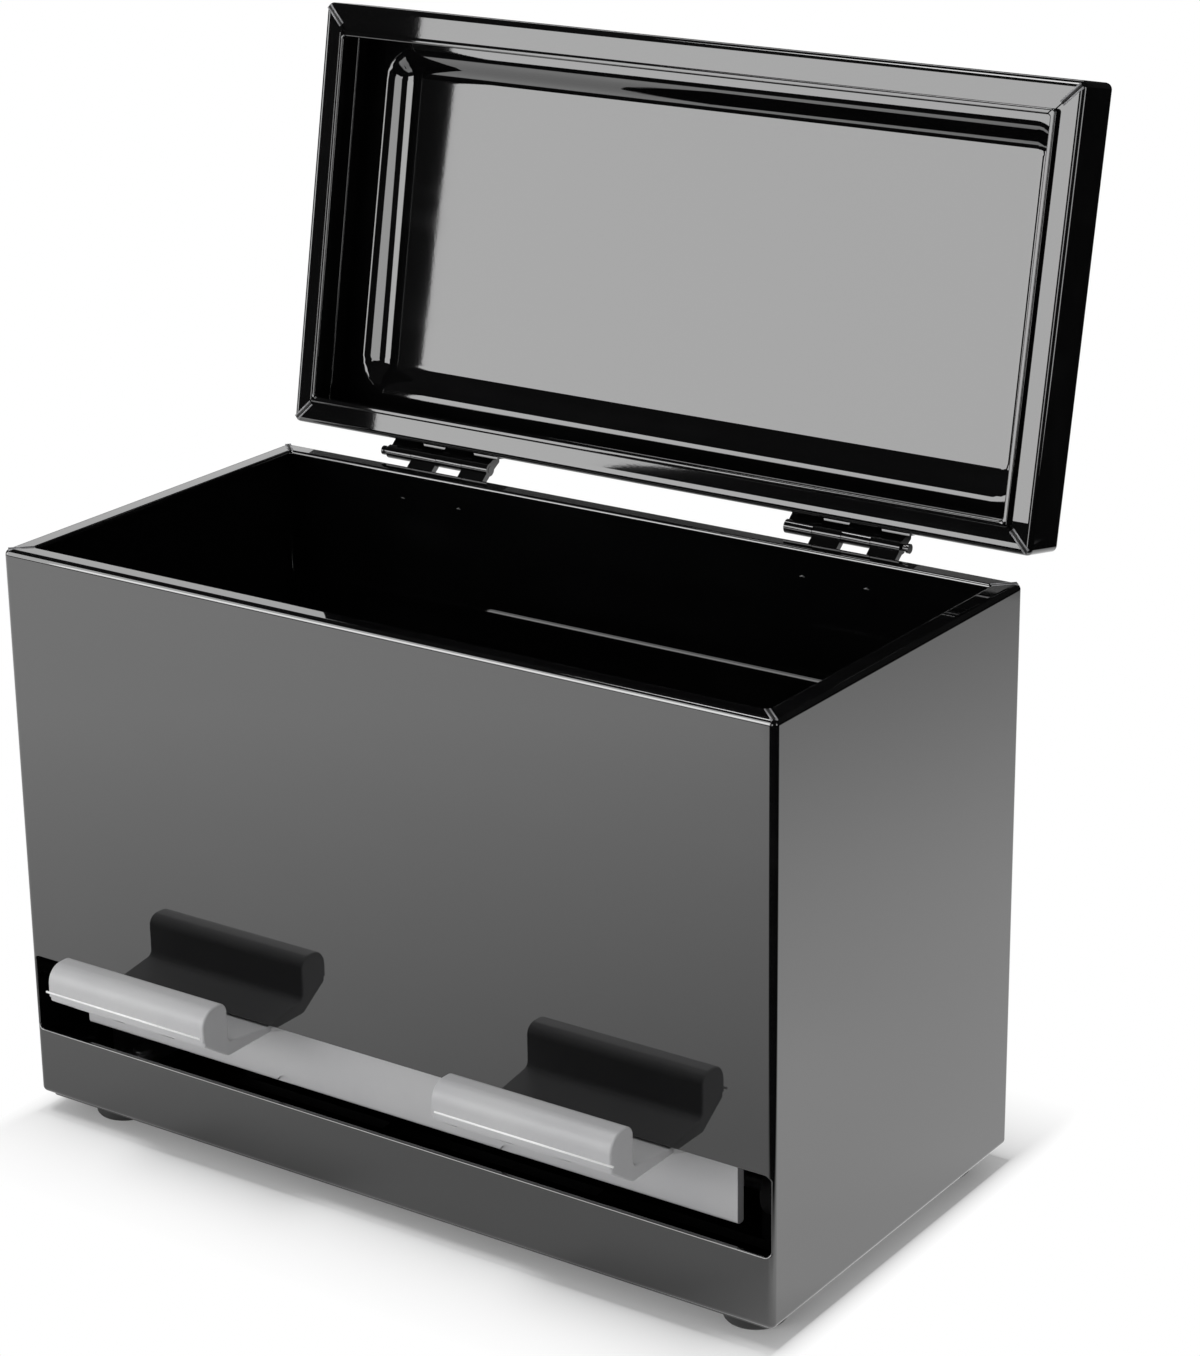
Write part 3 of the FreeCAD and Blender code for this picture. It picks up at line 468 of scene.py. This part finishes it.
softboxes = {
    "keyBox": {"place": (-0.3887, -0.60, 0.2825), "aim": (-0.3887, 0, 0.2825), "size": (0.3774, 0.245),
               "radiance": 4.2, "roll": 6.0, "hides": "visible_diffuse"},
    "softBox": {"place": (-0.514, -0.892, 0.31), "aim": (0, 0, 0.19), "size": (0.435, 0.375),
                "radiance": 4.2, "hides": "visible_glossy"},
    "topBox": {"place": (-0.36, -0.24, 1.30), "aim": (0, 0, 0.10), "size": (0.60, 0.34),
               "radiance": 7.6, "skips": ["hinge_case_leaf_right"]},
    "rearBox": {"place": (-0.86, 0.98, 0.52), "aim": (0, 0, 0.15), "size": (1.10, 0.50), "radiance": 1.45},
    "sideBox": {"place": (1.25, -0.10, 0.36), "aim": (0, 0, 0.20), "size": (0.34, 0.55), "radiance": 3.0},
    "slopeBox": {"place": (0.30, -0.86, 0.31), "aim": (0, 0, 0.20), "size": (0.24, 0.34),
                 "radiance": 3.1, "hides": "visible_diffuse"},
    "fillBox": {"place": (-0.30, -1.20, 0.30), "aim": (0, 0, 0.06), "size": (0.60, 0.50),
                "radiance": 3.4, "hides": "visible_glossy"},
    "edgeBox": {"place": (-0.640, -0.332, 0.25), "aim": (-0.10, 0.06, 0.22), "size": (0.26, 0.24),
                "radiance": 3.8, "hides": "visible_diffuse"},
    "foldBox": {"place": (-0.80, -1.05, 0.50), "aim": (0, 0, 0.15), "size": (1.30, 1.20),
                "radiance": 3.6, "hides": "visible_diffuse", "only": ["case_shell"]},
}


def softbox(name, box):
    lamp = bpy.data.lights.new(name, "AREA")
    lamp.shape = "RECTANGLE"
    lamp.size, lamp.size_y = box["size"]
    lamp.energy = box["radiance"] * math.pi * box["size"][0] * box["size"][1]
    holder = bpy.data.objects.new(name, lamp)
    bpy.context.scene.collection.objects.link(holder)
    way = Vector(box["aim"]) - Vector(box["place"])
    turn = way.to_track_quat("-Z", "Y").to_matrix() @ Matrix.Rotation(math.radians(box.get("roll", 0)), 3, "Z")
    holder.matrix_world = Matrix.Translation(box["place"]) @ turn.to_4x4()
    if "hides" in box:
        setattr(holder, box["hides"], False)
    chosen = box.get("only") or box.get("skips")
    if chosen:
        group = bpy.data.collections.new(name)
        for nodeName in chosen:
            group.objects.link(nodes[nodeName])
        if "skips" in box:
            for member in group.collection_objects:
                member.light_linking.link_state = "EXCLUDE"
        holder.light_linking.receiver_collection = group


for boxName, box in softboxes.items():
    softbox(boxName, box)
print("lamps set")


# Floor and room

floorPaper = {
    "size": 12.0,
    "colour": (0.80, 0.80, 0.80, 1),
    "lift": 0.10,  # what the floor adds for the camera near the object
    "caseMiddle": (0.0, -0.0074, 0.0),
    "caseHalf": (0.110, 0.0545, 0),  # shadows stay visible close to this region
    "shadowStretch": (6.0, 1, 0),  # they fade sooner at the case's ends
    "shadowFade": (0.0012, 0.036),  # from the full shadow out to plain white
    "shadowBend": 0.38,
    "sheenAhead": (0.10, 0.40, 0.16, 0.75),  # what the table adds in mirror images, ahead of the case
    "sheenBehind": (0.12, 0.50, 1.00, 0.25),  # and behind it on the right
    "sheenStart": (0.02, 0.08),
    # the white table as glossy surfaces see it: the direction and distance of each of its edges
    "rearEdge": (0.57, 0.82, 0.55),
    "rightEdge": (0.80, -0.60, 0.175),
    "leftEdge": (-0.53, -0.85, 0.60),
    "edgeFade": 0.02,
    "behind": (0.82, 0.57),
    "beyondTable": (0.01, 0.01, 0.01, 1),
}

room = {
    "colour": (1, 1, 1, 1),
    "strength": 0.42,
    "mirror": 0.02,  # the room as glossy surfaces see it
}


def makeFloor():
    bm = bmesh.new()
    bmesh.ops.create_grid(bm, x_segments=1, y_segments=1, size=floorPaper["size"] / 2)
    mesh = bpy.data.meshes.new("floor")
    bm.to_mesh(mesh)
    bm.free()
    floor = bpy.data.objects.new("floor", mesh)
    bpy.context.scene.collection.objects.link(floor)
    r = Recipe("floorPaper")
    x = r.axis("X")
    y = x.twin("Y")
    seenByCamera = r.add("LightPath", {}, {}, "Is Camera Ray")
    glossy = seenByCamera.twin("Is Glossy Ray")

    def along(direction):
        return x * direction[0] + y * direction[1]

    def within(edge):
        fade = floorPaper["edgeFade"]
        return r.ramp(along(edge), edge[2] - fade, edge[2] + fade, 1, 0)

    table = within(floorPaper["rearEdge"]) * within(floorPaper["rightEdge"]) * within(floorPaper["leftEdge"])

    beside = r.place().moved(floorPaper["caseMiddle"]).unsigned()
    beside = beside.moved(floorPaper["caseHalf"]).atLeast((0, 0, 0))
    white = r.ramp(beside.scaled(floorPaper["shadowStretch"]).length(), *floorPaper["shadowFade"])
    white = white ** floorPaper["shadowBend"]

    ahead = along(floorPaper["leftEdge"])
    behind = along(floorPaper["behind"])
    sheen = r.ramp(ahead, *floorPaper["sheenAhead"]) * r.ramp(behind, *floorPaper["sheenStart"], 1, 0)
    sheen = sheen + r.ramp(behind, *floorPaper["sheenBehind"]) * r.ramp(behind, *floorPaper["sheenStart"])

    lift = r.glow(seenByCamera * floorPaper["lift"] + glossy * sheen)
    lifted = r.add("AddShader", {}, {0: r.diffuse(floorPaper["colour"]), 1: lift})
    seen = r.mixed(seenByCamera * white, lifted, r.glow(1.0))
    paper = r.mixed(glossy * (1 - table), seen, r.diffuse(floorPaper["beyondTable"]))
    mesh.materials.append(r.finished(paper))


def makeRoom():
    world = bpy.data.worlds.new("room")
    bpy.context.scene.world = world
    world.use_nodes = True
    r = Recipe("room", world.node_tree)
    seenByCamera = r.add("LightPath", {}, {}, "Is Camera Ray")
    level = room["strength"] + seenByCamera.twin("Is Glossy Ray") * (room["mirror"] - room["strength"])
    level = level * (1 - seenByCamera) + seenByCamera
    r.output("OutputWorld", r.add("Background", {}, {"Color": room["colour"], "Strength": level}))


makeFloor()
makeRoom()
print("floor and room made")


# Camera

camera = {
    "place": (0.480854, -0.661397, 0.415518),
    "right": (0.824393, 0.565887, -0.012168),
    "up": (-0.183141, 0.287019, 0.940255),
    "back": (0.535570, -0.772911, 0.340254),
    "lens": 95.482,
    "longSide": 36.0,
    "clip": (0.01, 50.0),
}


def makeCamera():
    data = bpy.data.cameras.new("camera")
    data.sensor_fit = "AUTO"
    data.sensor_width = camera["longSide"]
    data.lens = camera["lens"]
    data.clip_start, data.clip_end = camera["clip"]
    holder = bpy.data.objects.new("camera", data)
    bpy.context.scene.collection.objects.link(holder)
    turn = Matrix((camera["right"], camera["up"], camera["back"])).transposed()
    holder.matrix_world = Matrix.Translation(camera["place"]) @ turn.to_4x4()
    bpy.context.scene.camera = holder


makeCamera()
bpy.context.scene.view_settings.view_transform = "Standard"
print("camera ready")
